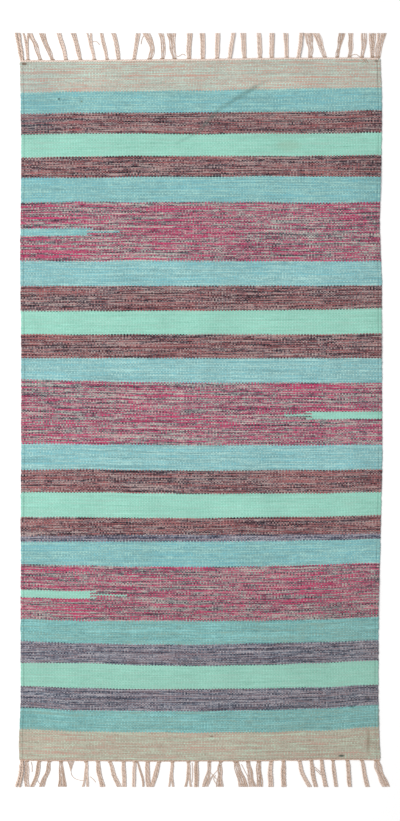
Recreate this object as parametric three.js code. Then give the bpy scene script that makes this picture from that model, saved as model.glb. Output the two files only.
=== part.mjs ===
// A flat-woven cotton kilim laid out flat, with a tasselled fringe at each end.
// Millimetres. +X is across the rug, +Y along it, +Z up. The origin is the middle of the underside.
import * as THREE from "three";

// Sizes of the cloth, the locking rows and the fringe
const CLOTH_THICKNESS = 3;
const LOCKING_ROW_DEPTH = 3.5;
const FRINGE_THICKNESS = 3.8;
const TASSEL_STATIONS = 3;
const TASSEL_LEAN_CURVE = 1.2;
const OVERALL_LENGTH = 1465;
const SEAM_GAP = 0.3;
const ROUNDED_EDGE = 0.8;
const CORNER_INSET = 1.5;
const SMOOTHING_STEPS = 3;

// The two side edges: at each distance along the rug, where the left and right selvedges run.
// The weave draws in a little and lets go again, and the last third is a little narrower.
const SIDES = [
  { along: 670, left: -354.5, right: 347 },
  { along: 600, left: -353, right: 349.5 },
  { along: 525, left: -352, right: 349 },
  { along: 447, left: -352, right: 347.5 },
  { along: 369, left: -353, right: 345 },
  { along: 311, left: -354, right: 347 },
  { along: 252, left: -353.5, right: 349.5 },
  { along: 136, left: -352, right: 349 },
  { along: -97, left: -352, right: 350 },
  { along: -214, left: -353, right: 347.5 },
  { along: -291, left: -352.5, right: 345.5 },
  { along: -369, left: -353, right: 343 },
  { along: -563, left: -353, right: 342.5 },
  { along: -602, left: -354.5, right: 343.5 },
  { along: -641, left: -356, right: 344.5 },
  { along: -672, left: -356, right: 346.5 },
];

// The two woven ends: at each place across the rug, where the coloured weave stops.
const ENDS = [
  { across: -355, top: 677.5, bottom: -680.5 },
  { across: -200, top: 678.5, bottom: -681.5 },
  { across: -100, top: 679.5, bottom: -682 },
  { across: 0, top: 680.5, bottom: -681.5 },
  { across: 105, top: 682.5, bottom: -681.5 },
  { across: 230, top: 683, bottom: -679 },
  { across: 350, top: 683, bottom: -679 },
];

// Tassels, from left to right. foot is where one leaves the locking row, lean is how far its tip
// lies to the right of that, width is its width near the foot and tip its width at the trimmed end.
const TOP_TASSELS = [
  { foot: -350, lean: -10, width: 8, tip: 10 },
  { foot: -339, lean: -1, width: 7, tip: 9 },
  { foot: -315, lean: -15, width: 8, tip: 8 },
  { foot: -290, lean: -21, width: 8, tip: 9 },
  { foot: -265, lean: -12, width: 8, tip: 8 },
  { foot: -237, lean: -13, width: 8, tip: 9 },
  { foot: -208, lean: -10, width: 8, tip: 10 },
  { foot: -185, lean: -12, width: 7, tip: 8 },
  { foot: -162, lean: -11, width: 8, tip: 8 },
  { foot: -134, lean: 9, width: 8, tip: 8 },
  { foot: -103, lean: -7, width: 9, tip: 13 },
  { foot: -78, lean: -2, width: 8, tip: 9 },
  { foot: -55, lean: -4, width: 9, tip: 15 },
  { foot: -26, lean: 1, width: 9, tip: 11 },
  { foot: 2, lean: -2, width: 8, tip: 10 },
  { foot: 29, lean: 0, width: 8, tip: 10 },
  { foot: 55, lean: 6, width: 8, tip: 8 },
  { foot: 81, lean: -2, width: 9, tip: 10 },
  { foot: 112, lean: -1, width: 8, tip: 9 },
  { foot: 135, lean: 0, width: 9, tip: 10 },
  { foot: 164, lean: 0, width: 8, tip: 10 },
  { foot: 187, lean: 4, width: 8, tip: 9 },
  { foot: 211, lean: -6, width: 9, tip: 15 },
  { foot: 238, lean: -17, width: 8, tip: 12 },
  { foot: 262, lean: 10, width: 7, tip: 9 },
  { foot: 288, lean: 3, width: 8, tip: 9 },
  { foot: 310, lean: 5, width: 9, tip: 11 },
  { foot: 338, lean: 11, width: 13, tip: 17 },
];

const BOTTOM_TASSELS = [
  { foot: -350, lean: -8, width: 8, tip: 13 },
  { foot: -341, lean: 0, width: 8, tip: 9 },
  { foot: -318, lean: -13, width: 8, tip: 8 },
  { foot: -297, lean: -14, width: 8, tip: 9 },
  { foot: -275, lean: 3, width: 9, tip: 16 },
  { foot: -254, lean: 6, width: 6, tip: 5 },
  { foot: -226, lean: -1, width: 8, tip: 13 },
  { foot: -202, lean: 8, width: 9, tip: 10 },
  { foot: -180, lean: 17, width: 8, tip: 9 },
  { foot: -154, lean: 2, width: 8, tip: 9 },
  { foot: -132, lean: 1, width: 6, tip: 8 },
  { foot: -105, lean: -1, width: 8, tip: 9 },
  { foot: -84, lean: -11, width: 9, tip: 9 },
  { foot: -57, lean: -3, width: 8, tip: 11 },
  { foot: -27, lean: -1, width: 9, tip: 15 },
  { foot: -11, lean: -1, width: 9, tip: 9 },
  { foot: 14, lean: -8, width: 8, tip: 14 },
  { foot: 35, lean: -3, width: 8, tip: 16 },
  { foot: 64, lean: 12, width: 9, tip: 14 },
  { foot: 89, lean: 8, width: 9, tip: 12 },
  { foot: 110, lean: 2, width: 9, tip: 13 },
  { foot: 134, lean: -1, width: 9, tip: 11 },
  { foot: 158, lean: 0, width: 9, tip: 11 },
  { foot: 189, lean: 20, width: 9, tip: 10 },
  { foot: 212, lean: 8, width: 8, tip: 10 },
  { foot: 232, lean: 7, width: 8, tip: 9 },
  { foot: 254, lean: 6, width: 7, tip: 8 },
  { foot: 282, lean: 4, width: 8, tip: 8 },
  { foot: 309, lean: 11, width: 8, tip: 8 },
  { foot: 339, lean: 19, width: 13, tip: 15 },
];

// Which way is outwards along the rug at each end
const SIGN = { top: 1, bottom: -1 };

const WOVEN_COTTON = { color: 0x98a3a0, roughness: 0.95, metalness: 0 };
const BARE_COTTON = { color: 0xcdb8a6, roughness: 0.95, metalness: 0 };

// Plan points of a smooth line through the rows of a table.
function smoothLine(points) {
  return new THREE.SplineCurve(points).getPoints(SMOOTHING_STEPS * (points.length - 1));
}

// The "top" or "bottom" woven end, moved outwards by a distance.
function endLine(end, outwards) {
  const rows = ENDS.map((row) => new THREE.Vector2(row.across, row[end] + SIGN[end] * outwards));
  return smoothLine(rows);
}

// Where the woven end lies at one place across the rug.
function endAt(end, across) {
  const line = endLine(end, 0);
  const next = Math.max(1, line.findIndex((point) => point.x > across));
  const [a, b] = [line[next - 1], line[next]];
  return THREE.MathUtils.mapLinear(across, a.x, b.x, a.y, b.y);
}

// A closed plan outline, extruded up from the ground with its edges rounded off.
function slab(outline, thickness) {
  const geometry = new THREE.ExtrudeGeometry(new THREE.Shape(outline), {
    depth: thickness - 2 * ROUNDED_EDGE,
    bevelThickness: ROUNDED_EDGE,
    bevelSize: ROUNDED_EDGE,
    bevelOffset: -ROUNDED_EDGE,
    bevelSegments: 1,
  });
  return geometry.translate(0, 0, ROUNDED_EDGE);
}

// The cloth: up the right side, across the top end, down the left side, back along the bottom end.
function clothGeometry() {
  const right = smoothLine(SIDES.map((row) => new THREE.Vector2(row.right, row.along)));
  const left = smoothLine(SIDES.map((row) => new THREE.Vector2(row.left, row.along)));
  const between = (point) => point.x > left[0].x + CORNER_INSET && point.x < right[0].x - CORNER_INSET;
  const top = endLine("top", 0).filter(between);
  const bottom = endLine("bottom", 0).filter(between);
  return slab([...right.reverse(), ...top.reverse(), ...left, ...bottom], CLOTH_THICKNESS);
}

// The outline of one tassel: out along its left side to the trimmed end and back along its right side.
function tasselOutline(end, { foot, lean, width, tip }) {
  const start = endAt(end, foot) + SIGN[end] * (SEAM_GAP + LOCKING_ROW_DEPTH);
  const finish = (SIGN[end] * OVERALL_LENGTH) / 2;
  const left = [];
  const right = [];
  for (let station = 0; station <= TASSEL_STATIONS; station += 1) {
    const t = station / TASSEL_STATIONS;
    const x = foot + lean * t ** TASSEL_LEAN_CURVE;
    const y = THREE.MathUtils.lerp(start, finish, t);
    const half = THREE.MathUtils.lerp(width, tip, t * t) / 2;
    left.push(new THREE.Vector2(x - half, y));
    right.push(new THREE.Vector2(x + half, y));
  }
  return [...left, ...right.reverse()];
}

// The locking row from selvedge to selvedge with its tassels, as one comb.
function fringeGeometry(end, rows) {
  const side = end === "top" ? SIDES[0] : SIDES[SIDES.length - 1];
  const from = side.left + CORNER_INSET;
  const to = side.right - CORNER_INSET;
  const corner = (x) => new THREE.Vector2(x, endAt(end, x) + SIGN[end] * SEAM_GAP);
  const inner = [
    corner(to),
    ...endLine(end, SEAM_GAP).filter((point) => point.x > from && point.x < to).reverse(),
    corner(from),
  ];
  const tassels = rows.flatMap((row) => tasselOutline(end, row));
  return slab([...inner, ...tassels], FRINGE_THICKNESS);
}

function piece(name, geometry, finish) {
  const mesh = new THREE.Mesh(geometry, new THREE.MeshStandardMaterial(finish));
  mesh.name = name;
  return mesh;
}

const rug = new THREE.Group();
rug.add(piece("kilim_cloth", clothGeometry(), WOVEN_COTTON));
rug.add(piece("fringe_top", fringeGeometry("top", TOP_TASSELS), BARE_COTTON));
rug.add(piece("fringe_bottom", fringeGeometry("bottom", BOTTOM_TASSELS), BARE_COTTON));

// The tables are measured from the rug's middle line by eye, so the whole is centred by its box.
const middle = new THREE.Box3().setFromObject(rug).getCenter(new THREE.Vector3());
rug.position.set(-middle.x, -middle.y, 0);

const kilim = new THREE.Group();
kilim.add(rug);

export default kilim;
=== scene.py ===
"""A flat-woven cotton kilim with a tasselled fringe at each end, laid out on a pale floor."""
import math
from collections import namedtuple

import bpy
import numpy as np
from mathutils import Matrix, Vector, noise


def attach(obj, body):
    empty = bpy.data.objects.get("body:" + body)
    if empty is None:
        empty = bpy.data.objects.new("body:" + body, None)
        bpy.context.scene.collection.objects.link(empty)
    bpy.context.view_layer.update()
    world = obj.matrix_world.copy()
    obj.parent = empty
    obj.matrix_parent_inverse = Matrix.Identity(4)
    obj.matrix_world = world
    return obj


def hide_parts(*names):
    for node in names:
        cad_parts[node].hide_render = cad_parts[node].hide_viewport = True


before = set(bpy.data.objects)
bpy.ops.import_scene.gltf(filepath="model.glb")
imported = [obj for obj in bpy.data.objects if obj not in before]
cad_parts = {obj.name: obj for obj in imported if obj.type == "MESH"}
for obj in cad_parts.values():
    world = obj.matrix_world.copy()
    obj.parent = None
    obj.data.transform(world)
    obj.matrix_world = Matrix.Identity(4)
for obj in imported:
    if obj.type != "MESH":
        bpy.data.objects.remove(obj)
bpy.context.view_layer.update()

bl_info = {
    "name": "Cotton Kilim",
    "version": (1, 0, 0),
    "blender": (4, 5, 0),
    "location": "View3D > Sidebar > Kilim",
    "description": "Weaves the cloth, knots the fringes and sets the stage for a cotton kilim",
    "category": "Object",
}

MM = 0.001

# The rug was measured across from its middle line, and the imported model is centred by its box.
SHIFT_X = -0.25
# Half the cloth's width and length, and half the length over the fringes, in mm.
HALF_WIDTH, HALF_LENGTH, HALF_OVERALL = 350.0, 681.0, 732.5

# Where the left and right selvedges run at each distance along the rug, in millimetres.
Side = namedtuple("Side", "along left right")
SIDES = [Side(*row) for row in (
    (683, -355, 346.5), (670, -354.5, 347), (600, -353, 349.5), (525, -352, 349),
    (447, -352, 347.5), (369, -353, 345), (311, -354, 347), (252, -353.5, 349.5),
    (136, -352, 349), (-97, -352, 350), (-214, -353, 347.5), (-291, -352.5, 345.5),
    (-369, -353, 343), (-563, -353, 342.5), (-602, -354.5, 343.5), (-641, -356, 344.5),
    (-672, -356, 346.5), (-683, -356, 346.5),
)]

# Where the woven ends run at each place across.
End = namedtuple("End", "across top bottom")
ENDS = [End(*row) for row in (
    (-355, 677.5, -680.5), (-200, 678.5, -681.5), (-100, 679.5, -682), (0, 680.5, -681.5),
    (105, 682.5, -681.5), (230, 683, -679), (350, 683, -679),
)]

# The stripes from the top end down: the yarn, where the stripe starts, and how far its first pick
# has sunk below that at seven places across. The beating-in was never quite even.
STATIONS = (-350, -235, -118, -1, 115, 232, 345)
Stripe = namedtuple("Stripe", "yarn start sunk")
STRIPES = [Stripe(*row) for row in (
    ("turquoise", 621, (5, 2.5, 2, 0.5, -1.5, -3.5, -5)),
    ("brown", 579, (3.5, 2, 1.5, 1, 0, -1, -4)),
    ("mint", 537.5, (2, 0, 0, 1.5, 0, 0, -2)),
    ("brown", 493, (3.5, 1, 0, 0, 0, 0, -2)),
    ("turquoise", 453, (2, 2.5, 0, 0, -1, -0.5, 0)),
    ("pink", 404, (1.5, -1, 0, -0.5, -0.5, 1.5, 0)),
    ("pale_turquoise", 289, (0, 0.5, -1, 0, 0, 0.5, 0)),
    ("brown", 242, (0.5, 0.5, 0, 0, 0, 0, -0.5)),
    ("mint", 194, (1.5, 1.5, 1.5, 0.5, 0, -1, -4)),
    ("brown", 147.5, (0, 0.5, 0, 0, 0, 0, -2)),
    ("pale_turquoise", 100.5, (0, 0, 0, 0.5, 0.5, 0, 0)),
    ("pink", 54, (-5, -2.5, 0.5, 1.5, 1.5, 1.5, 1.5)),
    ("pale_turquoise", -68, (-2, -1, 0, 1.5, 1, 1, 0)),
    ("brown", -116.5, (0, -1.5, 0, 1.5, 0.5, 0, -1.5)),
    ("mint", -161.5, (-2, -2, 0, 2, 0.5, 0, -2)),
    ("brown", -208.5, (0, 0, 1.5, 2, 0, -0.5, -4)),
    ("slate", -243, (2, 1.5, 0.5, 0, -1, -2, -3)),
    ("turquoise", -255, (2, 1.5, 1.5, 1.5, 0.5, -1.5, -4)),
    ("deep_pink", -302.5, (-2.5, -0.5, 2, 3, 1.5, -1.5, -5)),
    ("teal", -408.5, (-2.5, 1.5, 1.5, 2, 1.5, -0.5, -6)),
    ("slate", -453, (-4, 0, 2.5, 3, 0.5, -2, -6)),
    ("mint", -493.5, (-2.5, -2, 2, 4, 2, -2, -6.5)),
    ("slate", -539.5, (-3.5, -0.5, 2.5, 2.5, 1, -1.5, -6)),
    ("teal", -581.5, (-3.5, 1.5, 3, 3, 1.5, -2, -9)),
    ("sand", -623, (-3, 2, 3.5, 4.5, 3.5, 0.5, -7)),
)]

# The small wedges in the pink stripes. body, teeth and tail say how far each reaches in from its
# own selvedge, side is -1 for the left one.
Wedge = namedtuple("Wedge", "yarn side middle half body teeth tail")
WEDGES = [
    Wedge("turquoise", -1, 345.2, 7.3, 129, 143, 194),
    Wedge("mint", 1, -9.7, 7.2, 135, 147, 190),
    Wedge("mint", -1, -358.5, 7.2, 135, 147, 209),
]

# Each yarn is spun from fibres of several shades, given from dark to light, five for a mottled yarn and
# three for a plain one. flush is the shade that comes and goes between them, covering share of the yarn
# on average. drift says how far the long, middle and short streaks along a pick move the shade, and
# swing how far they move the flush.
SHADE_STOPS = {3: (0.0, 0.5, 1.0), 5: (0.0, 0.3, 0.5, 0.7, 1.0)}
Yarn = namedtuple("Yarn", "shades flush share drift swing")
YARNS = {
    "cream": Yarn(("A7ABA0", "BEC4BA", "C6DED1"), "CBA294", 0.06, (0.8, 0.8, 0.7), (2.3, 1.8, 1.4)),
    "turquoise": Yarn(("7BA8AA", "91BBB9", "AAD4CD"), "80BEC6", 0.1, (1.2, 1.15, 1.0), (1.9, 1.8, 1.4)),
    "pale_turquoise": Yarn(("7FA9AB", "98BFBE", "B4D9D4"), "86C2C9", 0.12,
                           (1.2, 1.15, 1.0), (1.9, 1.8, 1.4)),
    "brown": Yarn(("2A262E", "534950", "72666C", "8F8284", "B4A29E"),
                  "A8696A", 0.12, (1.55, 1.55, 1.4), (1.9, 1.8, 1.4)),
    "mint": Yarn(("84BAA9", "9DD3C3", "B4E7D9"), "A6CCBF", 0.1, (0.45, 0.45, 0.4), (1.4, 1.4, 1.1)),
    "pink": Yarn(("3C3842", "67656D", "898C8C", "A8A9A5", "C6C0B8"),
                 "C44672", 0.2, (1.1, 1.1, 1.0), (2.0, 1.9, 1.6)),
    "deep_pink": Yarn(("3A3642", "65626B", "868889", "A5A5A2", "C3BCB5"),
                      "C44470", 0.25, (1.05, 1.05, 1.0), (1.9, 1.9, 1.6)),
    "slate": Yarn(("2D344A", "5A6272", "767D8C", "9497A2", "B2AFB5"),
                  "8E7A82", 0.08, (1.3, 1.2, 1.15), (1.8, 1.8, 1.5)),
    "teal": Yarn(("6A9D9F", "84BDBC", "9ED5D4"), "92B2A8", 0.12, (0.8, 0.8, 0.8), (1.8, 1.7, 1.3)),
    "sand": Yarn(("A59D8D", "BFBEAE", "C6DDC9"), "C8A598", 0.06, (0.75, 0.75, 0.7), (2.0, 1.6, 1.3)),
}

# Marks of use: place and half size in millimetres, colour, and how strongly it covers. The last four
# are broad and faint: painted shade darkening the lower end, the lower right corner and the right side,
# and a bluish darkening at the top left corner.
Mark = namedtuple("Mark", "x y wide high colour cover")
STAINS_AND_PAINTED_SHADE = [Mark(*row) for row in (
    (-278.5, 604.5, 2.2, 2.2, "2B4A48", 0.8), (-234.5, 599.5, 2.0, 2.0, "5E6A50", 0.7),
    (-346, 672.5, 5.5, 2.6, "6E4F3C", 0.85), (168, 514, 24, 11, "8A9A80", 0.27),
    (270.5, -672, 6.0, 2.4, "22403A", 0.85), (291, -576.5, 5.0, 1.8, "2F4A4C", 0.6),
    (320.5, -558, 3.0, 2.0, "4A4A44", 0.5), (18, -634.5, 4.0, 1.6, "5A5A4C", 0.6),
    (322.5, -644, 3.8, 26, "84705C", 0.42), (344.5, -600, 4.5, 24, "8C8A74", 0.45),
    (338.5, 678.5, 3.5, 3.0, "5E4A3C", 0.55), (340.5, 645, 1.5, 26, "6A5A4C", 0.25),
    (284, -679.2, 3.5, 1.0, "2F4A44", 0.7),
    (60, -700, 900, 380, "6A6658", 0.1), (370, -660, 300, 300, "5E5A4E", 0.09),
    (370, 200, 90, 900, "5E5A4E", 0.03), (-350, 600, 80, 70, "4C7A88", 0.14),
)]
# A mark covers fully out to this share of its half size and is gone at this one.
MARK_FULL, MARK_GONE = 0.5, 1.35

# The crease, stroke by stroke: from and to, how far its painted shade and dust spread to each side, and
# how strongly they cover at the two ends.
Stroke = namedtuple("Stroke", "x0 y0 x1 y1 wide first last")
CREASE = [Stroke(*row) for row in (
    (128, 640, 104, 628, 5.6, 0.07, 0.26), (104, 628, 72, 609, 7.4, 0.46, 0.38),
    (84, 611, 50, 598, 5.4, 0.3, 0.22), (72, 609, 30, 582, 6.8, 0.38, 0.3),
    (30, 582, -3, 546, 6.4, 0.38, 0.4), (-8, 541, -50, 518, 5.2, 0.33, 0.12),
)]
# The colour of the painted shade and dust along the crease.
CREASE_SHADE_AND_DUST = "4C6862"

# Tassels from left to right: where one leaves the locking row, how far its tip lies to the right of
# that, its width at the foot and at the trimmed end, how it lies (bundle, pair, split, frayed), and how
# far its middle bows out to the right.
Tassel = namedtuple("Tassel", "foot lean width tip lie bow", defaults=(0,))
TOP_TASSELS = [Tassel(*row) for row in (
    (-350, -9, 9, 12, "pair"), (-339, -4, 8, 13, "split"), (-315, -20, 8, 10, "frayed", 1.5),
    (-291, -21, 8, 13, "frayed"), (-265, -14, 8, 10, "bundle", 1), (-237, -14, 8, 11, "bundle", 1),
    (-210, -10, 8, 11, "split"), (-185, -11, 7, 8, "bundle"), (-163, -10, 8, 10, "bundle", 2),
    (-133, 8, 8, 9, "split"), (-103, -7, 9, 15, "frayed", 8), (-78, -3, 8, 11, "frayed", 4),
    (-54, -6, 9, 18, "frayed", -1), (-26, 1, 9, 12, "bundle"), (1, -1, 9, 10, "bundle"),
    (28.5, 1, 9, 9, "bundle"), (53, 7, 8, 8, "pair"), (82, -3, 9, 12, "bundle"),
    (112, -2, 9, 9, "bundle"), (135, 0, 9, 10, "bundle"), (164, -2, 8, 11, "bundle"),
    (187, 6, 8, 8, "pair"), (210, -5, 9, 18, "frayed", 2), (238, -18, 9, 16, "frayed", 2.5),
    (262, 9, 7, 13, "frayed"), (286, 3, 8, 10.5, "frayed", 1), (310, 4, 9, 11, "frayed", 1.3),
    (331, -1, 9, 14, "frayed"), (341, 8, 12, 19, "frayed", -1),
)]
BOTTOM_TASSELS = [Tassel(*row) for row in (
    (-350, -8, 9, 14, "pair", 1), (-341, 0, 8, 10, "frayed"), (-317, -14, 8, 8, "bundle", 3),
    (-297, -16, 8, 11, "frayed", 2.6), (-275, 3, 9, 17, "frayed"), (-226, -2, 9, 14, "split", 2),
    (-203, 9, 9, 10, "bundle", -1.6), (-180, 18, 8, 10, "bundle", -1), (-153, 1, 8, 9, "bundle"),
    (-132, -1, 7, 7, "pair"), (-127, 12, 4, 5, "pair", 3), (-106, 2, 9, 9, "bundle", -2),
    (-84, -14, 9, 9, "bundle"), (-58, -3, 8, 12, "split"), (-27, 0, 9, 15, "split"),
    (-11, -1, 9, 9, "bundle"), (14, -9, 8, 13, "frayed", 2), (36, -2, 8, 14, "frayed", -1),
    (65, 15, 12, 20, "frayed"), (89, 8, 9, 14, "frayed"), (110, 2, 10, 13, "frayed"),
    (134, -1, 9, 11, "bundle", -1), (158, 0, 9, 10, "bundle"), (189, 19, 8, 9, "bundle", -3),
    (212, 9, 8, 9, "bundle", -2), (232, 8, 8, 9, "bundle", -1), (254, 6, 7, 8, "bundle"),
    (282, 5, 8, 8, "bundle"), (310, 11, 8, 8, "bundle"), (339, 18, 14, 16, "frayed", -3),
)]

# Single loose threads, each through a few points.
TOP_THREADS = [
    ((-215, 715), (-209, 717), (-204, 715), (-200, 710)),
    ((-33, 689), (-37, 692), (-42, 690), (-47, 687), (-51, 689)),
    ((-110, 733), (-117, 722), (-119, 711)),
    ((287, 686), (292, 690.5), (300, 691), (306, 686)),
    ((308, 686), (312, 681), (317, 675)), ((313, 684), (318, 679), (322, 674)),
    ((319, 684), (315, 679), (310, 674)),
]
BOTTOM_THREADS = [
    ((-254, -683), (-255, -706), (-247, -717), (-231, -721)),
    ((-262, -682), (-258.5, -691), (-256, -700)), ((-259.5, -682), (-257.5, -692), (-256, -702)),
    ((-256.5, -682), (-256, -692), (-255.5, -702)), ((-251.5, -682), (-253, -691), (-255, -700)),
    ((-249, -682), (-252, -690), (-254.5, -698)), ((-323, -716), (-319, -723), (-314, -730)),
    ((-218, -713), (-212, -718), (-207, -724)), ((-333, -684), (-331, -692), (-331, -704)),
    ((-20, -686), (-19, -705), (-20, -724)), ((38, -689), (28, -702), (19, -712), (12, -722)),
    ((13, -701), (20, -710), (29, -719), (38, -728)), ((23, -708), (17, -718), (13, -728)),
    ((26, -710), (22, -718), (28, -728)), ((218, -694), (227, -702), (234, -711)),
    ((220, -699), (230, -709), (236, -713)), ((76, -689), (83, -703), (92, -720)),
]


def linear(hex_colour):
    """The linear RGBA of an sRGB hex value."""
    channels = [int(hex_colour[i:i + 2], 16) / 255 for i in (0, 2, 4)]
    return [c / 12.92 if c <= 0.04045 else ((c + 0.055) / 1.055) ** 2.4 for c in channels] + [1.0]


class KilimClothSettings(bpy.types.PropertyGroup):
    """Sizes of the woven cloth."""
    thickness: bpy.props.FloatProperty(
        name="Thickness", description="Thickness of the cloth", default=3 * MM, unit="LENGTH")
    warp_spacing: bpy.props.FloatProperty(
        name="Warp spacing", description="From one warp rib to the next", default=3.02 * MM, unit="LENGTH")
    float_height: bpy.props.FloatProperty(
        name="Float height", default=2.9 * MM, unit="LENGTH",
        description="Height of one weft float, drawn coarser than real to show from afar")
    ripple: bpy.props.FloatProperty(
        name="Ripple", description="Scale of the low ripples that lift the cloth off the floor",
        default=2.2 * MM, unit="LENGTH")


class KilimFringeSettings(bpy.types.PropertyGroup):
    """Sizes of the fringes."""
    cord: bpy.props.FloatProperty(
        name="Cord", description="Diameter of one twisted cord in a tassel", default=2.7 * MM, unit="LENGTH")
    lay: bpy.props.FloatProperty(
        name="Lay length", description="Length of one full turn of the twist", default=11 * MM, unit="LENGTH")
    locking_row: bpy.props.FloatProperty(
        name="Locking row", description="Diameter of the locking row", default=4.2 * MM, unit="LENGTH")


class KilimColours(bpy.types.PropertyGroup):
    """Colours that a user would change."""
    bare_cotton: bpy.props.FloatVectorProperty(
        name="Bare cotton", description="Undyed cotton of the fringes", subtype="COLOR", size=4,
        min=0, max=1, default=linear("F2E1D6"))
    floor: bpy.props.FloatVectorProperty(
        name="Floor", description="Pale floor under the rug", subtype="COLOR", size=4,
        min=0, max=1, default=linear("FBFBFB"))


def set_inputs(node, inputs):
    """Sets or links a node's inputs."""
    for key, value in inputs.items():
        if isinstance(value, bpy.types.Node):
            value = value.outputs[0]
        if isinstance(value, bpy.types.NodeSocket):
            node.id_data.links.new(value, node.inputs[key])
        else:
            node.inputs[key].default_value = value


def add_node(tree, kind, inputs=None, **settings):
    """Adds a node, gives it its settings, and sets or links its inputs."""
    node = tree.nodes.new(kind)
    for name, value in settings.items():
        setattr(node, name, value)
    set_inputs(node, inputs or {})
    return node


def new_material(name):
    """A material with an empty node tree but for its shader, which is returned too."""
    material = bpy.data.materials.new(name)
    material.use_nodes = True
    tree = material.node_tree
    tree.nodes.clear()
    shader = add_node(tree, "ShaderNodeBsdfPrincipled")
    add_node(tree, "ShaderNodeOutputMaterial", {"Surface": shader})
    return material, tree, shader


def fill_ramp(ramp, stops):
    """Gives a colour ramp its stops."""
    elements = ramp.color_ramp.elements
    while len(elements) > 1:
        elements.remove(elements[-1])
    for index, (position, colour) in enumerate(stops):
        element = elements[0] if index == 0 else elements.new(position)
        element.position = position
        element.color = linear(colour)


# Warps and picks wander: noise cells per millimetre, and how far at most across and along the rug.
WANDER_SCALE = 0.016
WANDER = (2.4, 2.0, 0)
ENDS_PER_PICK = 2.0
# Far enough for the ends that show on odd warps to look unlike those on even ones.
ODD_WARP_OFFSET = 53.0


def weave_floats(tree, cloth):
    """Where a point lies in the weave: its float's place, pick and warp, and the place on the float.

    Plain weave beaten down until the weft hides the warp: over each warp only every other pick
    shows, and the next warp shows the picks between. Each pick carries two yarn ends side by side.
    Real floats are about half as high; they are drawn coarser, so that they show from overhead.
    """
    weave = add_node(tree, "ShaderNodeAttribute", attribute_name="weave")
    wander = add_node(tree, "ShaderNodeTexNoise", {"Vector": weave.outputs["Vector"], "Scale": WANDER_SCALE,
                                                   "Detail": 1.0}, noise_dimensions="2D")
    centred = add_node(tree, "ShaderNodeVectorMath", {0: wander.outputs["Color"], 1: (0.5, 0.5, 0.5)},
                       operation="SUBTRACT")
    moved = add_node(tree, "ShaderNodeVectorMath", {0: centred, 1: WANDER, 2: weave.outputs["Vector"]},
                     operation="MULTIPLY_ADD")
    place = add_node(tree, "ShaderNodeSeparateXYZ", {0: moved})
    side = add_node(tree, "ShaderNodeMath", {0: place.outputs[2], 1: 0.5}, operation="GREATER_THAN")
    warps = add_node(tree, "ShaderNodeMath", {0: place.outputs[0], 1: cloth.warp_spacing / MM},
                     operation="DIVIDE")
    warp = add_node(tree, "ShaderNodeMath", {0: warps}, operation="FLOOR")
    across = add_node(tree, "ShaderNodeMath", {0: warps, 1: warp}, operation="SUBTRACT")
    shed = add_node(tree, "ShaderNodeMath", {0: warp, 1: side}, operation="ADD")
    odd = add_node(tree, "ShaderNodeMath", {0: shed, 1: 1.0}, operation="PINGPONG")
    rows = add_node(tree, "ShaderNodeMath", {0: place.outputs[1], 1: cloth.float_height / MM},
                    operation="DIVIDE")
    shifted = add_node(tree, "ShaderNodeMath", {0: odd, 1: 0.5, 2: rows}, operation="MULTIPLY_ADD")
    row = add_node(tree, "ShaderNodeMath", {0: shifted}, operation="FLOOR")
    ends = add_node(tree, "ShaderNodeMath", {0: rows, 1: ENDS_PER_PICK}, operation="MULTIPLY")
    end = add_node(tree, "ShaderNodeMath", {0: ends}, operation="FLOOR")
    own_end = add_node(tree, "ShaderNodeMath", {0: odd, 1: ODD_WARP_OFFSET, 2: end},
                       operation="MULTIPLY_ADD")
    along = add_node(tree, "ShaderNodeMath", {0: shifted, 1: row}, operation="SUBTRACT")
    pick = add_node(tree, "ShaderNodeMath", {0: odd, 1: -0.5, 2: row}, operation="MULTIPLY_ADD")
    centre = add_node(tree, "ShaderNodeMath", {0: pick, 1: 0.5}, operation="ADD")
    middle = add_node(tree, "ShaderNodeMath", {0: centre, 1: cloth.float_height / MM}, operation="MULTIPLY")
    warp_middle = add_node(tree, "ShaderNodeMath", {0: warp, 1: 0.5}, operation="ADD")
    over = add_node(tree, "ShaderNodeMath", {0: warp_middle, 1: cloth.warp_spacing / MM},
                    operation="MULTIPLY")
    return {"u": place.outputs[0], "warp": warp, "pick": pick, "end": end, "own_end": own_end,
            "middle": middle, "over": over, "across": across, "along": along, "weave": weave}


# The long, middle and short streaks: their length in millimetres, which count of yarn ends they
# follow, how far apart two ends lie in the noise, and where in the noise they start.
Streak = namedtuple("Streak", "length line step start")
STREAKS = [
    Streak(260.0, "end", 0.83, 0.37), Streak(60.0, "own_end", 0.79, 40.71),
    Streak(17.0, "own_end", 0.87, 90.13),
]
# How far one float alone strays from its streak in shade and in flush.
FLOAT_SHADE, FLOAT_FLUSH = 0.4, 0.25


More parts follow.
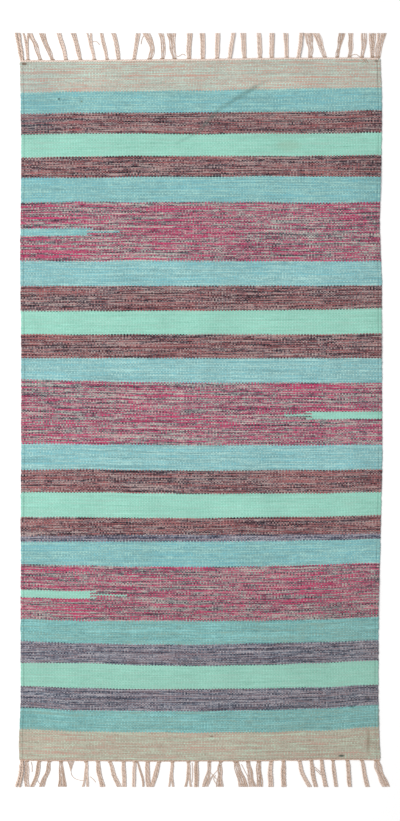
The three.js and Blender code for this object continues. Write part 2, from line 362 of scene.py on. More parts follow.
def yarn_drift(tree, floats):
    """How the shade and the flush drift along each pick, each by its long, middle and short streaks."""
    shade, flush = {}, {}
    for index, streak in enumerate(STREAKS):
        where = add_node(tree, "ShaderNodeMath", {0: floats["u"], 1: streak.length}, operation="DIVIDE")
        which = add_node(tree, "ShaderNodeMath", {0: floats[streak.line], 1: streak.step, 2: streak.start},
                         operation="MULTIPLY_ADD")
        at = add_node(tree, "ShaderNodeCombineXYZ", {0: where, 1: which})
        streaks = add_node(tree, "ShaderNodeTexNoise", {"Vector": at, "Scale": 1.0, "Detail": 0.0},
                           noise_dimensions="2D")
        streaks = add_node(tree, "ShaderNodeSeparateXYZ", {0: streaks.outputs["Color"]})
        shade[index], flush[index] = streaks.outputs[0], streaks.outputs[1]
    cell = add_node(tree, "ShaderNodeCombineXYZ", {0: floats["warp"], 1: floats["pick"]})
    cell = add_node(tree, "ShaderNodeTexWhiteNoise", {"Vector": cell}, noise_dimensions="2D")
    cell = add_node(tree, "ShaderNodeVectorMath", {0: cell.outputs["Color"], 1: (0.5, 0.5, 0.5)},
                    operation="SUBTRACT")
    cell = add_node(tree, "ShaderNodeSeparateXYZ", {0: cell})
    for parts, out, strays in ((shade, 0, FLOAT_SHADE), (flush, 1, FLOAT_FLUSH)):
        parts[2] = add_node(tree, "ShaderNodeMath", {0: cell.outputs[out], 1: strays, 2: parts[2]},
                            operation="MULTIPLY_ADD")
    return [add_node(tree, "ShaderNodeVectorMath", {
        0: add_node(tree, "ShaderNodeCombineXYZ", parts), 1: (0.5, 0.5, 0.5)}, operation="SUBTRACT")
        for parts in (shade, flush)]


def striped_colour(tree, floats):
    """The colour of each float: its yarn's shade at that point of the drift, stripe by stripe."""
    shade, flush = yarn_drift(tree, floats)
    shades = {}
    for name, yarn in YARNS.items():
        moved = add_node(tree, "ShaderNodeVectorMath", {0: shade, 1: yarn.drift}, operation="DOT_PRODUCT")
        value = add_node(tree, "ShaderNodeMath", {0: moved.outputs["Value"], 1: 0.5}, operation="ADD")
        own = add_node(tree, "ShaderNodeValToRGB", {0: value}, label=name)
        fill_ramp(own, zip(SHADE_STOPS[len(yarn.shades)], yarn.shades))
        swung = add_node(tree, "ShaderNodeVectorMath", {0: flush, 1: yarn.swing}, operation="DOT_PRODUCT")
        cover = add_node(tree, "ShaderNodeMath", {0: swung.outputs["Value"], 1: yarn.share}, operation="ADD")
        shades[name] = add_node(tree, "ShaderNodeMix", {0: cover, 6: own, 7: linear(yarn.flush)},
                                data_type="RGBA").outputs[2]
    colour = shades["cream"]
    for stripe in STRIPES:
        below = add_node(tree, "ShaderNodeMath", {0: floats["middle"], 1: stripe.start},
                         operation="LESS_THAN")
        colour = add_node(tree, "ShaderNodeMix", {0: below, 6: colour, 7: shades[stripe.yarn]},
                          data_type="RGBA").outputs[2]
    for wedge in WEDGES:
        inside = wedge_cover(tree, floats, wedge)
        colour = add_node(tree, "ShaderNodeMix", {0: inside, 6: colour, 7: shades[wedge.yarn]},
                          data_type="RGBA").outputs[2]
    return colour


# The teeth of a wedge start at this share of its half height, and its tail ends at this one.
TEETH_FROM, TAIL_TO = 0.64, 0.205


def wedge_cover(tree, floats, wedge):
    """1 on the floats of a wedge: a blunt body, short teeth at its two sides and a thin tail."""
    off = add_node(tree, "ShaderNodeMath", {0: floats["middle"], 1: wedge.middle}, operation="SUBTRACT")
    off = add_node(tree, "ShaderNodeMath", {0: off}, operation="ABSOLUTE")
    depth = add_node(tree, "ShaderNodeMath", {0: floats["over"], 1: -wedge.side, 2: HALF_WIDTH},
                     operation="MULTIPLY_ADD")
    reach = wedge.body
    for limit, operation, length in (
            (TEETH_FROM * wedge.half, "GREATER_THAN", wedge.teeth - wedge.body),
            (TAIL_TO * wedge.half, "LESS_THAN", wedge.tail - wedge.body)):
        here = add_node(tree, "ShaderNodeMath", {0: off, 1: limit}, operation=operation)
        reach = add_node(tree, "ShaderNodeMath", {0: here, 1: length, 2: reach}, operation="MULTIPLY_ADD")
    near = add_node(tree, "ShaderNodeMath", {0: depth, 1: reach}, operation="LESS_THAN")
    within = add_node(tree, "ShaderNodeMath", {0: off, 1: wedge.half}, operation="LESS_THAN")
    return add_node(tree, "ShaderNodeMath", {0: near, 1: within}, operation="MULTIPLY")


def stained_and_shaded_colour(tree, colour, place):
    """Lays the marks of use, and the broad painted shade, over the weave."""
    for mark in STAINS_AND_PAINTED_SHADE:
        off = add_node(tree, "ShaderNodeVectorMath", {0: place, 1: (mark.x, mark.y, 0)}, operation="SUBTRACT")
        scaled = add_node(tree, "ShaderNodeVectorMath", {0: off, 1: (1 / mark.wide, 1 / mark.high, 0)},
                          operation="MULTIPLY")
        far = add_node(tree, "ShaderNodeVectorMath", {0: scaled}, operation="LENGTH")
        cover = add_node(tree, "ShaderNodeMapRange", {0: far.outputs["Value"], 1: MARK_FULL, 2: MARK_GONE,
                                                      3: mark.cover, 4: 0.0}, interpolation_type="SMOOTHSTEP")
        colour = add_node(tree, "ShaderNodeMix", {0: cover, 6: colour, 7: linear(mark.colour)},
                          data_type="RGBA").outputs[2]
    return colour


def crease_shade_and_dust(tree, place):
    """How strongly the crease is darkened: painted shade of the fold, with the dirt that lies in it."""
    dust_full = 0.1
    cover = 0.0
    for stroke in CREASE:
        length = math.hypot(stroke.x1 - stroke.x0, stroke.y1 - stroke.y0)
        way = ((stroke.x1 - stroke.x0) / length, (stroke.y1 - stroke.y0) / length, 0)
        off = add_node(tree, "ShaderNodeVectorMath", {0: place, 1: (1, 1, 0), 2: (-stroke.x0, -stroke.y0, 0)},
                       operation="MULTIPLY_ADD")
        run = add_node(tree, "ShaderNodeVectorMath", {0: off, 1: way}, operation="DOT_PRODUCT")
        held = add_node(tree, "ShaderNodeClamp", {"Value": run.outputs["Value"], "Min": 0.0, "Max": length})
        along = add_node(tree, "ShaderNodeVectorMath", {0: way, 3: held}, operation="SCALE")
        beside = add_node(tree, "ShaderNodeVectorMath", {0: off, 1: along}, operation="DISTANCE")
        near = add_node(tree, "ShaderNodeMapRange", {0: beside.outputs["Value"], 1: dust_full * stroke.wide,
                                                     2: stroke.wide, 3: 1.0, 4: 0.0},
                        interpolation_type="SMOOTHSTEP")
        much = add_node(tree, "ShaderNodeMapRange", {0: held, 1: 0.0, 2: length, 3: stroke.first,
                                                     4: stroke.last})
        dust = add_node(tree, "ShaderNodeMath", {0: near, 1: much}, operation="MULTIPLY")
        cover = add_node(tree, "ShaderNodeMath", {0: dust, 1: cover}, operation="MAXIMUM")
    return cover


# The groove between the doubled outer warps and the rest: how far in from the selvedge it runs, where
# its slope starts and ends on each side, and the strength of the shade painted in it.
GROOVE_IN, GROOVE_START, GROOVE_STOP, GROOVE_SHADE = 6.6, 0.3, 1.5, 0.76
# The painted shade between two floats: how far up each float it reaches and how strong it is.
GAP_SHADE_REACH, GAP_SHADE_DEPTH = 0.6, 0.62
# The darkest and lightest tone of the whole cloth, and of the cotton's fibres.
CLOTH_TONES, FIBRE_TONES = (0.94, 1.06), (0.92, 1.06)
# The darkest cotton, for darker plies and for the painted shade at the tassels' feet, and the tones
# between which the cord turns from it to bare cotton.
DARK_AND_SHADED_COTTON, DARK_COTTON_TONE, BARE_COTTON_TONE = "9A7655", 0.5, 1.15


def cloth_material(cloth):
    """Soft-spun cotton in a weft-faced plain weave: matt, ribbed along the warps, with each float a
    small pillow, so the borders between stripes come out toothed and mixed yarns look dashed."""
    material, tree, shader = new_material("weft_faced_cotton_weave")
    floats = weave_floats(tree, cloth)
    colour = striped_colour(tree, floats)

    # Each float is crowned across its warp and along the rug, and sinks in at its ends.
    crowns = []
    for name in ("across", "along"):
        from_middle = add_node(tree, "ShaderNodeMath", {0: floats[name], 1: 0.5}, operation="SUBTRACT")
        square = add_node(tree, "ShaderNodeMath", {0: from_middle, 1: from_middle}, operation="MULTIPLY")
        crown = add_node(tree, "ShaderNodeMath", {0: square, 1: -4.0, 2: 1.0}, operation="MULTIPLY_ADD")
        crowns.append(crown)
    pillow = add_node(tree, "ShaderNodeMath", {0: crowns[0], 1: crowns[1]}, operation="MULTIPLY")
    gap = add_node(tree, "ShaderNodeMapRange", {0: pillow, 1: 0.0, 2: GAP_SHADE_REACH, 3: GAP_SHADE_DEPTH, 4: 0.0})

    # Painted shade between two floats: light that falls there meets the yarn twice, so its colour is
    # deepened there.
    twice = add_node(tree, "ShaderNodeVectorMath", {0: colour, 1: colour}, operation="MULTIPLY")
    colour = add_node(tree, "ShaderNodeMix", {0: gap, 6: colour, 7: twice}, data_type="RGBA").outputs[2]

    # Painted shade in the groove beside each selvedge.
    place = add_node(tree, "ShaderNodeSeparateXYZ", {0: floats["weave"].outputs["Vector"]})
    inward = add_node(tree, "ShaderNodeMath", {0: place.outputs[0]}, operation="ABSOLUTE")
    inward = add_node(tree, "ShaderNodeMath", {0: inward, 1: HALF_WIDTH - GROOVE_IN}, operation="SUBTRACT")
    inward = add_node(tree, "ShaderNodeMath", {0: inward}, operation="ABSOLUTE")
    groove = add_node(tree, "ShaderNodeMapRange", {0: inward, 1: GROOVE_START, 2: GROOVE_STOP,
                                                   3: GROOVE_SHADE, 4: 1.0})

    # Broad uneven tone from dyeing, wear and floor dust.
    tone = add_node(tree, "ShaderNodeTexNoise", {"Vector": floats["weave"].outputs["Vector"], "Scale": 0.012,
                                                 "Detail": 3.0}, noise_dimensions="2D")
    tone = add_node(tree, "ShaderNodeMapRange", {0: tone.outputs[0], 1: 0.25, 2: 0.75,
                                                 3: CLOTH_TONES[0], 4: CLOTH_TONES[1]})
    shade = add_node(tree, "ShaderNodeMath", {0: tone, 1: groove}, operation="MULTIPLY")
    colour = add_node(tree, "ShaderNodeVectorMath", {0: colour, 1: shade}, operation="MULTIPLY")

    spot = add_node(tree, "ShaderNodeTexCoord")
    spot = add_node(tree, "ShaderNodeVectorMath", {0: spot.outputs["Object"], 3: 1 / MM}, operation="SCALE")
    # Painted shade of the fold, with dust, darkens the cloth along the crease.
    dust = crease_shade_and_dust(tree, spot)
    colour = add_node(tree, "ShaderNodeMix", {0: dust, 6: colour, 7: linear(CREASE_SHADE_AND_DUST)},
                      data_type="RGBA").outputs[2]
    # Stains, and broad painted shade darkening the lower end, the lower right corner and the right side.
    colour = stained_and_shaded_colour(tree, colour, spot)

    fibres = add_node(tree, "ShaderNodeTexNoise", {"Vector": floats["weave"].outputs["Vector"], "Scale": 1.6,
                                                   "Detail": 2.0}, noise_dimensions="2D")
    height = add_node(tree, "ShaderNodeMath", {0: fibres.outputs[0], 1: 0.25, 2: pillow},
                      operation="MULTIPLY_ADD")
    bump = add_node(tree, "ShaderNodeBump", {"Height": height, "Distance": 0.5 * MM, "Strength": 0.8})
    set_inputs(shader, {"Base Color": colour, "Normal": bump, "Roughness": 0.92, "Specular IOR Level": 0.2})
    return material


def cotton_material(colours):
    """Undyed cotton cord: matt and fibrous, each ply a little different, dark as painted shade in the
    loop at a tassel's foot."""
    material, tree, shader = new_material("undyed_twisted_cotton")
    tone = add_node(tree, "ShaderNodeAttribute", attribute_name="tone")
    spot = add_node(tree, "ShaderNodeTexCoord")
    fibres = add_node(tree, "ShaderNodeTexNoise", {"Vector": spot.outputs["Object"], "Scale": 420.0,
                                                   "Detail": 3.0})
    worn = add_node(tree, "ShaderNodeMapRange", {0: fibres.outputs[0], 1: 0.3, 2: 0.7,
                                                 3: FIBRE_TONES[0], 4: FIBRE_TONES[1]})
    shade = add_node(tree, "ShaderNodeMath", {0: tone.outputs["Fac"], 1: worn}, operation="MULTIPLY")
    toward_bare = add_node(tree, "ShaderNodeMapRange", {0: shade, 1: DARK_COTTON_TONE, 2: BARE_COTTON_TONE, 3: 0.0, 4: 1.0})
    colour = add_node(tree, "ShaderNodeMix", {
        0: toward_bare, 6: linear(DARK_AND_SHADED_COTTON), 7: tuple(colours.bare_cotton)}, data_type="RGBA")
    bump = add_node(tree, "ShaderNodeBump", {"Height": fibres.outputs[0], "Distance": 0.3 * MM,
                                             "Strength": 0.6})
    set_inputs(shader, {"Base Color": colour.outputs[2], "Normal": bump, "Roughness": 0.9,
                        "Specular IOR Level": 0.2})
    return material


def end_line(end, x):
    """Where the top or bottom woven end lies at a place across."""
    return np.interp(x, [row.across + SHIFT_X for row in ENDS], [getattr(row, end) for row in ENDS])


# How far the woven end is tucked in under the locking row.
TUCK = 1.0


def sunk_by(u, v):
    """How far a pick has sunk at each warp: columns of u against rows of v, in millimetres."""
    starts = [HALF_LENGTH] + [stripe.start for stripe in STRIPES] + [-HALF_LENGTH]
    rows = [HALF_LENGTH - end_line("top", u) + TUCK]
    ease = np.interp(u, STATIONS, range(len(STATIONS)))
    low = np.clip(ease.astype(int), 0, len(STATIONS) - 2)
    part = ease - low
    part = part * part * (3 - 2 * part)
    for stripe in STRIPES:
        sunk = np.array(stripe.sunk)
        rows.append(sunk[low] * (1 - part) + sunk[low + 1] * part)
    rows.append(-HALF_LENGTH - end_line("bottom", u) - TUCK)
    rows = np.array(rows)[::-1]
    return np.array([np.interp(v, starts[::-1], rows[:, i]) for i in range(len(u))]).T


def stations_from(half, near, pitch):
    """Places from -half to half: close ones near both edges and even ones between."""
    inner = half - near[-1]
    count = round(2 * inner / pitch)
    middle = np.linspace(-inner, inner, count + 1)
    return np.concatenate([[-half + d for d in near[:-1]], middle, [half - d for d in reversed(near[:-1])]])


# Ripples in the cloth: their size across and along in millimetres, their place in the noise and their
# share. Noise under RIPPLE_FLOOR leaves the cloth on the floor.
Ripple = namedtuple("Ripple", "across along place share")
RIPPLES = [Ripple(210, 150, 3.1, 1.0), Ripple(70, 90, 8.7, 0.4)]
RIPPLE_FLOOR = 0.05
RIPPLE_GAIN = 2.0
# The last stretch before each woven end lies flat, and the ripples grow over the stretch after it.
FLAT_END, EASE_END = 8, 90
# The fold along the crease: height, half width, and how far it runs on past its painted shade and dust
# at both ends.
FOLD_HEIGHT, FOLD_WIDE, FOLD_PAST = 1.0, 6, 20


def ripple_height(x, y, ripple):
    """How high the cloth lifts off the floor: broad low ripples that die out towards the ends."""
    lift = sum(wave.share * noise.noise(Vector((x / wave.across, y / wave.along, wave.place)))
               for wave in RIPPLES)
    lift = max(0.0, lift - RIPPLE_FLOOR)
    calm = min(1.0, max(0.0, (HALF_LENGTH - FLAT_END - abs(y)) / EASE_END))
    lift *= ripple * RIPPLE_GAIN * calm * calm
    x0, y0, x1, y1 = CREASE[0].x0, CREASE[0].y0, CREASE[-1].x1, CREASE[-1].y1
    length = math.hypot(x1 - x0, y1 - y0)
    run = ((x - x0) * (x1 - x0) + (y - y0) * (y1 - y0)) / length
    off = ((x - x0) * (y1 - y0) - (y - y0) * (x1 - x0)) / length
    if -FOLD_PAST < run < length + FOLD_PAST:
        fade = math.sin(math.pi * (run + FOLD_PAST) / (length + 2 * FOLD_PAST)) ** 2
        lift += FOLD_HEIGHT * fade * math.exp(-(off / FOLD_WIDE) ** 2)
    return lift


# How full the cloth is at each distance in from a selvedge, with the groove between, and from an end.
SIDE_NEAR = (0.0, 0.35, 1.1, 2.4, 4.8, 6.0, GROOVE_IN, 7.2, 8.6, 12.0)
SIDE_FULL = (0, 0.5, 0.84, 1.0, 0.98, 0.86, 0.68, 0.84, 0.94, 0.97)
END_NEAR = (0.0, 0.15, 0.6, 2.0, 5.0)
END_FULL = (0, 0.75, 0.95, 1.0, 1.0)
# From one mesh line to the next across and along, and how far the weft loops stand out unevenly.
PITCH_ACROSS, PITCH_ALONG = 6.4, 4.2
LOOP_UNEVEN, LOOP_DEPTH = 0.35, 3


def weave_mesh(cloth):
    """One closed sheet with rounded selvedges, and a weave coordinate on each point."""
    u = stations_from(HALF_WIDTH, SIDE_NEAR, PITCH_ACROSS)
    v = stations_from(HALF_LENGTH, END_NEAR, PITCH_ALONG)
    columns, rows = len(u), len(v)
    y = v[:, None] - sunk_by(u, v)
    left, right = (np.interp(y, [row.along for row in SIDES[::-1]],
                             [getattr(row, edge) + SHIFT_X for row in SIDES[::-1]])
                   for edge in ("left", "right"))
    rng = np.random.default_rng(7)
    loops = rng.normal(0, LOOP_UNEVEN, (rows, 2))
    loops[[0, -1]] = loops[[1, -2]]
    share = (u[None, :] + HALF_WIDTH) / (2 * HALF_WIDTH)
    x = left + share * (right - left)
    depth = HALF_WIDTH - np.abs(u)
    x += np.where(u < 0, loops[:, :1], loops[:, 1:]) * np.exp(-depth / LOOP_DEPTH)[None, :]

    half = cloth.thickness / MM / 2
    from_side = np.interp(depth, SIDE_NEAR, SIDE_FULL)
    from_end = np.interp(HALF_LENGTH - np.abs(v), END_NEAR, END_FULL)
    full = half * from_end[:, None] * from_side[None, :]
    lift = np.array([[ripple_height(x[j, i], y[j, i], cloth.ripple / MM) for i in range(columns)]
                     for j in range(rows)])
    middle = lift + half

    top = np.stack([x, y, middle + full], axis=-1).reshape(-1, 3)
    under = np.stack([x, y, middle - full], axis=-1).reshape(-1, 3)
    inside = np.zeros((rows, columns), bool)
    inside[1:-1, 1:-1] = True
    inside = inside.reshape(-1)
    top_index = np.arange(rows * columns)
    under_index = top_index.copy()
    under_index[inside] = rows * columns + np.arange(inside.sum())
    points = np.concatenate([top, under[inside]]) * MM

    def quads(index, upwards):
        index = index.reshape(rows, columns)
        a, b, c, d = index[:-1, :-1], index[:-1, 1:], index[1:, 1:], index[1:, :-1]
        grid = np.stack([a, b, c, d] if upwards else [a, d, c, b], axis=-1)
        # At these two corners of the sheet a split from rim to rim would leave a flap with no thickness.
        for corner in ((0, -1), (-1, 0)):
            grid[corner] = np.roll(grid[corner], 1)
        return grid.reshape(-1, 4)

    faces = np.concatenate([quads(top_index, True), quads(under_index, False)])
    mesh = bpy.data.meshes.new("woven_cloth")
    mesh.from_pydata(points.tolist(), [], faces.tolist())
    grid = np.stack(np.broadcast_arrays(u[None, :], v[:, None]), axis=-1).reshape(-1, 2)
    coordinates = np.zeros((len(points), 3), np.float32)
    coordinates[:len(grid), :2] = grid
    coordinates[len(grid):, :2] = grid[inside]
    coordinates[len(grid):, 2] = 1.0
    weave = mesh.attributes.new("weave", "FLOAT_VECTOR", "POINT")
    weave.data.foreach_set("vector", coordinates.reshape(-1))

    # The two faces lie side by side on the map, each at nearly the same scale both ways.
    corner = faces.reshape(-1)
    flat = coordinates[corner]
    is_under = np.repeat(np.arange(len(faces)) >= len(faces) // 2, 4)
    map_u = 0.004 + 0.488 * (flat[:, 0] + HALF_WIDTH) / (2 * HALF_WIDTH) + 0.5 * is_under
    map_v = 0.002 + 0.996 * (flat[:, 1] + HALF_LENGTH) / (2 * HALF_LENGTH)
    layer = mesh.uv_layers.new(name="OFBake")
    layer.uv.foreach_set("vector", np.stack([map_u, map_v], axis=-1).astype(np.float32).reshape(-1))
    mesh.shade_smooth()
    return mesh


def sideways(path):
    """Two unit directions across a path at each point: a level one and one upwards."""
    way = np.gradient(path, axis=0)
    way /= np.linalg.norm(way, axis=1)[:, None]
    side = np.cross(way, (0.0, 0.0, 1.0))
    side /= np.linalg.norm(side, axis=1)[:, None]
    return side, np.cross(side, way)


# How far a ply lies from its cord's middle and how thick it is, as shares of the cord's diameter.
PLY_OUT, PLY_RADIUS = 0.21, 0.29


class CordMesh:
    """Gathers twisted cords and threads into one mesh, with a tone for each ply."""

    def __init__(self):
        self.points, self.faces, self.tones = [], [], []

    def tube(self, path, radius, sides, tone):
        """A closed round tube along a path of points."""
        path = np.asarray(path, float)
        radius = np.broadcast_to(radius, len(path))
        side, rise = sideways(path)
        start = len(self.points)
        for k in range(sides):
            turn = 2 * math.pi * k / sides
            ring = path + radius[:, None] * (math.cos(turn) * side + math.sin(turn) * rise)
            self.points.extend(ring.tolist())
        count = len(path)
        for k in range(sides):
            here, there = start + k * count, start + (k + 1) % sides * count
            for i in range(count - 1):
                self.faces.append((here + i, here + i + 1, there + i + 1, there + i))
        self.faces.append([start + k * count for k in range(sides)])
        self.faces.append([start + k * count + count - 1 for k in reversed(range(sides))])
        self.tones.extend([tone] * (sides * count))

    def cord(self, path, diameter, lay, tones, sides=7):
        """Plies laid round each other along a path."""
        path = np.asarray(path, float)
        diameter = np.broadcast_to(diameter, len(path))
        side, rise = sideways(path)
        turn = np.concatenate([[0], np.cumsum(np.linalg.norm(np.diff(path, axis=0), axis=1))])
        turn *= 2 * math.pi / lay
        for k, tone in enumerate(tones):
            angle = turn + 2 * math.pi * k / len(tones)
            round_middle = np.cos(angle)[:, None] * side + np.sin(angle)[:, None] * rise
            ply = path + PLY_OUT * diameter[:, None] * round_middle
            self.tube(ply, PLY_RADIUS * diameter, sides, tone)

    def mesh(self, name):
        """The gathered cords as one smooth mesh in metres."""
        mesh = bpy.data.meshes.new(name)
        mesh.from_pydata((np.array(self.points) * MM).tolist(), [], self.faces)
        tone = mesh.attributes.new("tone", "FLOAT", "POINT")
        tone.data.foreach_set("value", np.array(self.tones, np.float32))
        mesh.shade_smooth()
        return mesh


def smooth_path(points, count):
    """A smooth run of points through a few given ones."""
    points = np.asarray(points, float)
    t = np.linspace(0, len(points) - 1, count)
    i = np.clip(t.astype(int), 0, len(points) - 2)
    f = (t - i)[:, None]
    before, after = points[np.maximum(i - 1, 0)], points[np.minimum(i + 2, len(points) - 1)]
    a, b = points[i], points[i + 1]
    return 0.5 * (2 * a + (b - before) * f + (2 * before - 5 * a + 4 * b - after) * f ** 2
                  + (3 * a - before - 3 * b + after) * f ** 3)


# The locking row at each end: where it starts and stops, its share of the set diameter and the tones
# of its plies. The bottom one is pulled tighter and is darker, and so are the tassels there.
Row = namedtuple("Row", "start stop share tones tassel_tone")
LOCKING_ROWS = {
    "top": Row(-353.5, 342, 1.0, (1.06, 0.98), 1.0),
    "bottom": Row(-354.5, 345.5, 0.72, (0.86, 0.74), 0.91),
}
ROW_LAY = 9.5
# How far out from the woven end the middle of the locking row and the feet of the tassels lie.
ROW_OUT, FOOT_OUT = 0.3, 0.4
# How far a tassel wanders sideways and in how many waves, and how its tone varies.
TASSEL_POINTS, TASSEL_WANDER, TASSEL_WAVES, TASSEL_TONES = 44, (0.4, 1.1), (0.5, 1.1), (0.95, 1.05)
# Its width at the pinched foot, as a share, and how far out the pinch reaches.
PINCH, PINCH_REACH = 0.72, 0.25
# A cord fills this much more than its lane, sways this far in so many waves, and every other one lies
# higher by a share of its thickness. The halves of a split tassel part from this share of its length.
PRESSED, SWAY, SWAY_WAVES, RAISED, SPLIT_FROM = 1.16, 0.28, (0.8, 2.0), 0.35, 0.35
# A frayed tassel has thinner strands that sway more, and its plies differ more in tone.
STRAND, STRAND_PRESSED, STRAND_SWAY = 2.1, 1.12, 2.8
PLY_TONES, FRAYED_TONES = (0.83, 1.09), (0.74, 1.15)
# The loop at a tassel's foot: its thickness, its tone (dark, as painted shade where the cords leave the
# row), its middle height and points.
LOOP_RADIUS, LOOP_SHADE_TONE, LOOP_HEIGHT, LOOP_POINTS = 0.65, 0.66, 1.75, 15
# Loose threads: diameter, lay, and their height beside the cloth and over it.
THREAD, THREAD_LAY, THREAD_LOW, THREAD_HIGH = 1.3, 6, 1.2, 4.9


def row_diameter(end, fringe):
    """The diameter of an end's locking row in millimetres."""
    return fringe.locking_row / MM * LOCKING_ROWS[end].share


def tassel_cords(cords, tassel, end, fringe, rng):
    """One tassel: a few twisted cords side by side from the locking row to the trimmed end."""
    out = 1 if end == "top" else -1
    foot = tassel.foot + SHIFT_X
    row = row_diameter(end, fringe)
    start = end_line(end, foot) + out * FOOT_OUT
    finish = out * HALF_OVERALL
    t = np.linspace(0, 1, TASSEL_POINTS)
    y = start + (finish - start) * t
    wander = rng.uniform(*TASSEL_WANDER)
    wander = wander * np.sin(2 * math.pi * (rng.uniform(*TASSEL_WAVES) * t + rng.uniform()))
    x = foot + tassel.lean * t + tassel.bow * np.sin(math.pi * t)
    x = x + wander * np.minimum(1, 3 * t) * (1 - 0.6 * t)
    width = tassel.width + (tassel.tip - tassel.width) * t ** 2
    width = width * (PINCH + (1 - PINCH) * np.minimum(1, t / PINCH_REACH))
    tone = rng.uniform(*TASSEL_TONES) * LOCKING_ROWS[end].tassel_tone
    thickness = fringe.cord / MM
    frayed = tassel.lie == "frayed"
    spread = FRAYED_TONES if frayed else PLY_TONES
    if frayed:
        number = round(tassel.tip / STRAND)
        cord = np.minimum(width / number * STRAND_PRESSED, STRAND)
    else:
        number = {"pair": 2, "split": 4}.get(tassel.lie, max(3, round(tassel.width / thickness)))
        cord = np.minimum(tassel.width, width) / number * PRESSED
    order = rng.permutation(number)
    for k in range(number):
        lane = (k + 0.5) / number - 0.5
        sway = SWAY * np.sin(2 * math.pi * (rng.uniform(*SWAY_WAVES) * t + rng.uniform()))
        if frayed:
            sway *= STRAND_SWAY
        height = cord / 2 * (1 + RAISED * (order[k] % 2))
        offset = lane * (width - 0.1 * cord)
        if tassel.lie == "split":
            apart = np.clip((t - SPLIT_FROM) / (1 - SPLIT_FROM), 0, 1) ** 1.2
            near = lane * tassel.width * width / tassel.tip
            gap = (width - np.minimum(tassel.width, width)) / 2
            offset = near + np.sign(lane) * gap * apart
        path = np.stack([x + offset + sway, y, height + 0.05], axis=-1)
        tones = [tone * rng.uniform(*spread) for _ in range(2)]
        lay = fringe.lay / MM * (0.7 if number > 4 else 1.0)
        cords.cord(path, cord, lay, tones, sides=5 if number > 4 else 7)

    # The end of the locking row is pulled round the foot of the tassel as a small loop, toned dark as
    # painted shade where the cords leave the row.
    ring = np.linspace(0, 2 * math.pi, LOOP_POINTS)
    half = tassel.width * 0.27 + 0.9
    at = start + out * (row / 2 + 0.7)
    loop = np.stack([foot + half * np.cos(ring), np.full(LOOP_POINTS, at) + 0.8 * np.sin(2 * ring),
                     LOOP_HEIGHT + 1.25 * np.sin(ring)], axis=-1)
    cords.tube(loop, LOOP_RADIUS, 6, LOOP_SHADE_TONE)


def loose_threads(cords, threads, end, rng):
    """Single threads that have come away from their tassels."""
    for points in threads:
        path = smooth_path([(x + SHIFT_X, y, 0) for x, y in points], 26)
        beyond = np.abs(path[:, 1]) > np.abs(end_line(end, path[:, 0]))
        path[:, 2] = np.where(beyond, THREAD_LOW, THREAD_HIGH)
        path[:, 2] = np.convolve(np.pad(path[:, 2], 3, mode="edge"), np.ones(7) / 7, mode="valid")
        cords.cord(path, THREAD, THREAD_LAY, [rng.uniform(0.78, 0.9) for _ in range(2)], sides=5)


def fringe_mesh(end, tassels, threads, fringe, seed):
    """The locking row from selvedge to selvedge, with its tassels and loose threads."""
    rng = np.random.default_rng(seed)
    cords = CordMesh()
    out = 1 if end == "top" else -1
    row = row_diameter(end, fringe)
    x = np.linspace(LOCKING_ROWS[end].start, LOCKING_ROWS[end].stop, 560)
    uneven = np.interp(x, x[::14], rng.normal(0, 0.4, len(x[::14])))
    uneven = np.convolve(np.pad(uneven, 7, mode="edge"), np.ones(15) / 15, mode="valid")
    y = end_line(end, x) + out * ROW_OUT + uneven
    z = np.full(len(x), row / 2 + 0.1)
    cords.cord(np.stack([x, y, z], axis=-1), row, ROW_LAY, LOCKING_ROWS[end].tones, sides=8)
    for tassel in tassels:
        tassel_cords(cords, tassel, end, fringe, rng)
    loose_threads(cords, threads, end, rng)
    return cords.mesh("fringe_" + end + "_cords")


def place_piece(mesh, material):
    """Puts a finished mesh into the scene at the origin and gives it its material."""
    piece = bpy.data.objects.new(mesh.name, mesh)
    bpy.context.scene.collection.objects.link(piece)
    mesh.materials.append(material)
    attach(piece, "root")
    return piece


class KILIM_OT_knot_fringes(bpy.types.Operator):
    """Knots the locking row and the tassels at both ends"""
    bl_idname = "kilim.knot_fringes"
    bl_label = "Knot fringes"

    def execute(self, context):
        fringe = context.scene.kilim_fringe
        material = cotton_material(context.scene.kilim_colours)
        for end, tassels, threads, seed in (("top", TOP_TASSELS, TOP_THREADS, 11),
                                            ("bottom", BOTTOM_TASSELS, BOTTOM_THREADS, 23)):
            piece = place_piece(fringe_mesh(end, tassels, threads, fringe, seed), material)
            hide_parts("fringe_" + end)
        return {"FINISHED"}


class KILIM_OT_weave_cloth(bpy.types.Operator):
    """Weaves the striped cloth as one closed sheet"""
    bl_idname = "kilim.weave_cloth"
    bl_label = "Weave cloth"

    def execute(self, context):
        cloth = context.scene.kilim_cloth
        piece = place_piece(weave_mesh(cloth), cloth_material(cloth))
        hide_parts("kilim_cloth")
        return {"FINISHED"}


FLOOR_SIZE = 14
FLOOR_DROP = 0.2 * MM
SKY_STRENGTH = 0.55
LAMP_PLACE, LAMP_AIM, LAMP_SIZE, LAMP_ENERGY = (-2.2, 0.15, 3.6), (0.1, -0.1, 0), 1.8, 135
# The camera hangs straight above the rug, over the middle of the photographed frame.
CAMERA_PLACE, CAMERA_LENS, CAMERA_SENSOR = (-4.5 * MM, -1.0 * MM, 3.7703), 85, 36


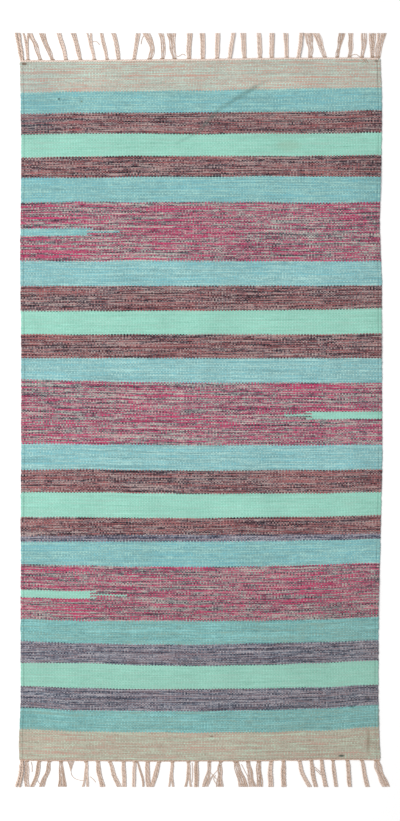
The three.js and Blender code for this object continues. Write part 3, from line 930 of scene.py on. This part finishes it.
class KILIM_OT_set_stage(bpy.types.Operator):
    """Sets the pale floor, the soft light and the overhead camera"""
    bl_idname = "kilim.set_stage"
    bl_label = "Set stage"

    def execute(self, context):
        scene = context.scene
        bpy.ops.mesh.primitive_plane_add(size=FLOOR_SIZE, location=(0, 0, -FLOOR_DROP))
        bpy.ops.object.transform_apply(location=True, rotation=False, scale=False)
        floor = context.object
        floor.name = "pale_floor"
        # Matt emulsion paint: it lets the rug's own shadow show as a soft thin edge and mirrors nothing.
        material, _, shader = new_material("matt_painted_floor")
        set_inputs(shader, {"Base Color": scene.kilim_colours.floor, "Roughness": 0.9,
                            "Specular IOR Level": 0.1})
        floor.data.materials.append(material)

        world = bpy.data.worlds.new("studio_daylight")
        scene.world = world
        world.use_nodes = True
        sky = world.node_tree.nodes["Background"]
        sky.inputs["Color"].default_value = linear("FCFDFF")
        sky.inputs["Strength"].default_value = SKY_STRENGTH
        scene.view_settings.view_transform = "Standard"

        bpy.ops.object.light_add(type="AREA", location=LAMP_PLACE)
        lamp = context.object
        lamp.name = "window_light"
        lamp.data.size = LAMP_SIZE
        lamp.data.energy = LAMP_ENERGY
        lamp.data.color = linear("FFFDFB")[:3]
        lamp.rotation_euler = (Vector(LAMP_AIM) - lamp.location).to_track_quat("-Z", "Y").to_euler()

        camera = bpy.data.cameras.new("overhead_camera")
        camera.lens = CAMERA_LENS
        camera.sensor_width = CAMERA_SENSOR
        holder = bpy.data.objects.new("overhead_camera", camera)
        holder.location = CAMERA_PLACE
        scene.collection.objects.link(holder)
        scene.camera = holder
        return {"FINISHED"}


class KILIM_PT_build(bpy.types.Panel):
    """Lists the steps that build the rug, and its sizes and colours"""
    bl_idname = "KILIM_PT_build"
    bl_label = "Kilim"
    bl_space_type = "VIEW_3D"
    bl_region_type = "UI"
    bl_category = "Kilim"

    def draw(self, context):
        for operator in OPERATORS:
            self.layout.operator(operator.bl_idname)
        for group in (context.scene.kilim_cloth, context.scene.kilim_fringe, context.scene.kilim_colours):
            for name in group.__annotations__:
                self.layout.prop(group, name)


OPERATORS = (KILIM_OT_knot_fringes, KILIM_OT_weave_cloth, KILIM_OT_set_stage)
SETTINGS = {"kilim_cloth": KilimClothSettings, "kilim_fringe": KilimFringeSettings,
            "kilim_colours": KilimColours}


def register():
    for part in (*SETTINGS.values(), *OPERATORS, KILIM_PT_build):
        bpy.utils.register_class(part)
    for name, group in SETTINGS.items():
        setattr(bpy.types.Scene, name, bpy.props.PointerProperty(type=group))


def unregister():
    for name in SETTINGS:
        delattr(bpy.types.Scene, name)
    for part in reversed((*SETTINGS.values(), *OPERATORS, KILIM_PT_build)):
        bpy.utils.unregister_class(part)


def main():
    register()
    bpy.ops.object.select_all(action="DESELECT")
    bpy.ops.kilim.knot_fringes()
    bpy.ops.kilim.weave_cloth()
    bpy.ops.kilim.set_stage()


if __name__ == "__main__":
    main()
